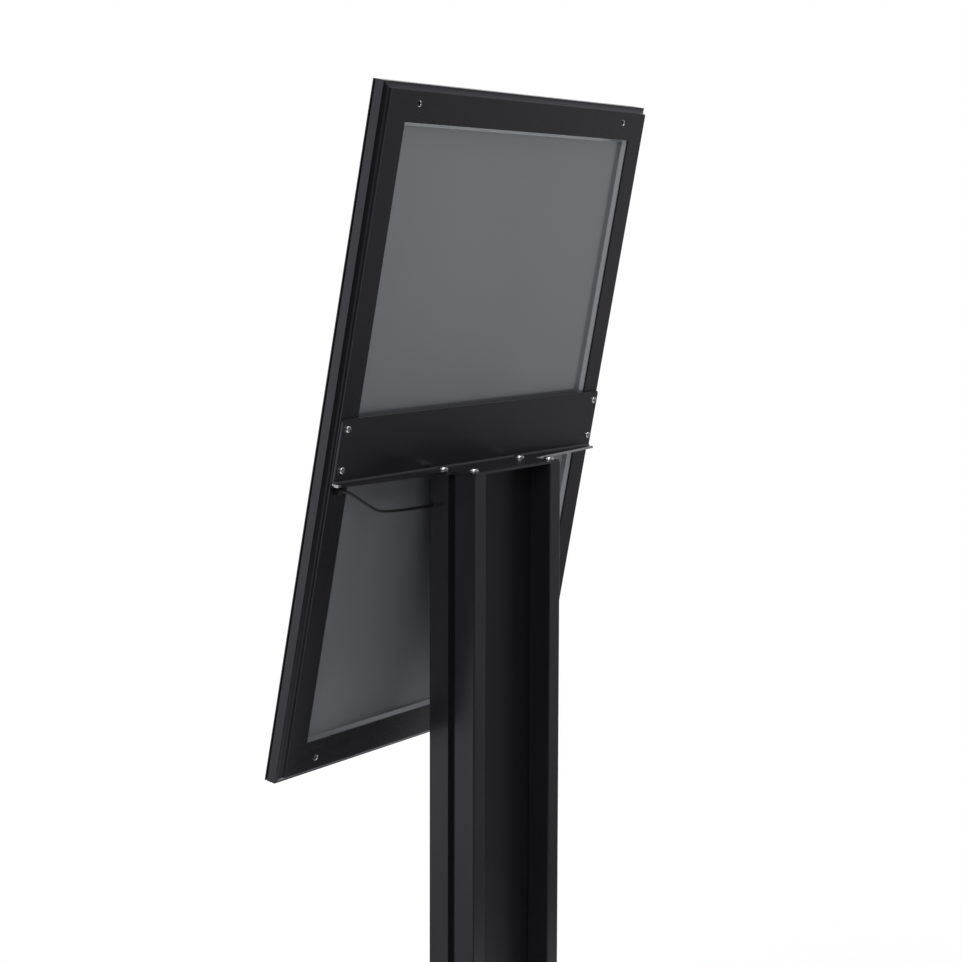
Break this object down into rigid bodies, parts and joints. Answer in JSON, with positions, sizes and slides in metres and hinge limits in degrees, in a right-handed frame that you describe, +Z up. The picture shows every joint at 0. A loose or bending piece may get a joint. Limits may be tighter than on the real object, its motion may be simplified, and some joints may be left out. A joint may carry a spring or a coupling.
{
  "type": "sign stand",
  "caption": "Floor-standing illuminated poster stand: tilted snap-rail frame on a bent sheet bracket, extruded post with side grooves and a flat base plate",
  "frame": {"origin": "on the floor, under the middle of the base plate and on the post axis", "axes": "+Z up, the poster faces -Y, +X is the sign's own left side"},
  "size_m": [0.5016, 0.4, 1.4099],
  "materials": {
    "base_steel": "black powder coat, satin",
    "foot_rubber": "matt black",
    "black_aluminium": "black anodised, satin",
    "bracket_steel": "black powder coat, satin",
    "bright_steel": "bright zinc",
    "panel_grey": "grey coated sheet, semi-gloss",
    "white_sheet": "white film",
    "clear_acrylic": "clear",
    "diffuser": "opal",
    "poster_paper": "printed sheet",
    "spring_steel": "plain",
    "key_aluminium": "mill finish",
    "strip_board": "white board",
    "lead_sheath": "black sheath",
    "black_plastic": "moulded black"
  },
  "bodies": {
    "stand": {"base_foot_1": "foot_rubber", "base_foot_2": "foot_rubber", "base_foot_3": "foot_rubber", "base_foot_4": "foot_rubber", "base_plate": "base_steel", "base_screw_1": "bright_steel", "base_screw_2": "bright_steel", "base_screw_3": "bright_steel", "base_screw_4": "bright_steel", "clear_cover": "clear_acrylic", "corner_key_bottom_left": "key_aluminium", "corner_key_bottom_right": "key_aluminium", "corner_key_top_left": "key_aluminium", "corner_key_top_right": "key_aluminium", "diffuser_sheet": "diffuser", "frame_profile_bottom": "black_aluminium", "frame_profile_left": "black_aluminium", "frame_profile_right": "black_aluminium", "frame_profile_top": "black_aluminium", "frame_screw_1": "bright_steel", "frame_screw_2": "bright_steel", "frame_screw_3": "bright_steel", "frame_screw_4": "bright_steel", "head_bracket": "bracket_steel", "lead_outlet": "black_plastic", "light_guide": "clear_acrylic", "light_strip_left": "strip_board", "light_strip_right": "strip_board", "post_bolt_1": "bright_steel", "post_bolt_2": "bright_steel", "post_bolt_3": "bright_steel", "post_bolt_4": "bright_steel", "post_grommet": "black_plastic", "post_side_left": "black_aluminium", "post_side_right": "black_aluminium", "post_web_panel": "black_aluminium", "poster_sheet": "poster_paper", "power_inlet": "black_plastic", "power_inlet_nut": "bright_steel", "rail_spring_bottom_1": "spring_steel", "rail_spring_bottom_2": "spring_steel", "rail_spring_left_1": "spring_steel", "rail_spring_left_2": "spring_steel", "rail_spring_right_1": "spring_steel", "rail_spring_right_2": "spring_steel", "rail_spring_top_1": "spring_steel", "rail_spring_top_2": "spring_steel", "rear_panel": "panel_grey", "reflector_sheet": "white_sheet", "sign_lead": "lead_sheath"},
    "rail_bottom": {"snap_rail_bottom": "black_aluminium"},
    "rail_top": {"snap_rail_top": "black_aluminium"},
    "rail_left": {"snap_rail_left": "black_aluminium"},
    "rail_right": {"snap_rail_right": "black_aluminium"}
  },
  "joints": [
    {"name": "rail_bottom_hinge", "type": "hinge", "parent": "stand", "child": "rail_bottom", "pos_m": [0, -0.09842, 0.76892], "axis": [1, 0, 0], "range_deg": [0, 90]},
    {"name": "rail_top_hinge", "type": "hinge", "parent": "stand", "child": "rail_top", "pos_m": [0, 0.02338, 1.40741], "axis": [-1, 0, 0], "range_deg": [0, 90]},
    {"name": "rail_left_hinge", "type": "hinge", "parent": "stand", "child": "rail_left", "pos_m": [0.2488, -0.03752, 1.08816], "axis": [0, 0.1874, 0.9823], "range_deg": [0, 90]},
    {"name": "rail_right_hinge", "type": "hinge", "parent": "stand", "child": "rail_right", "pos_m": [-0.2488, -0.03752, 1.08816], "axis": [0, -0.1874, -0.9823], "range_deg": [0, 90]}
  ]
}
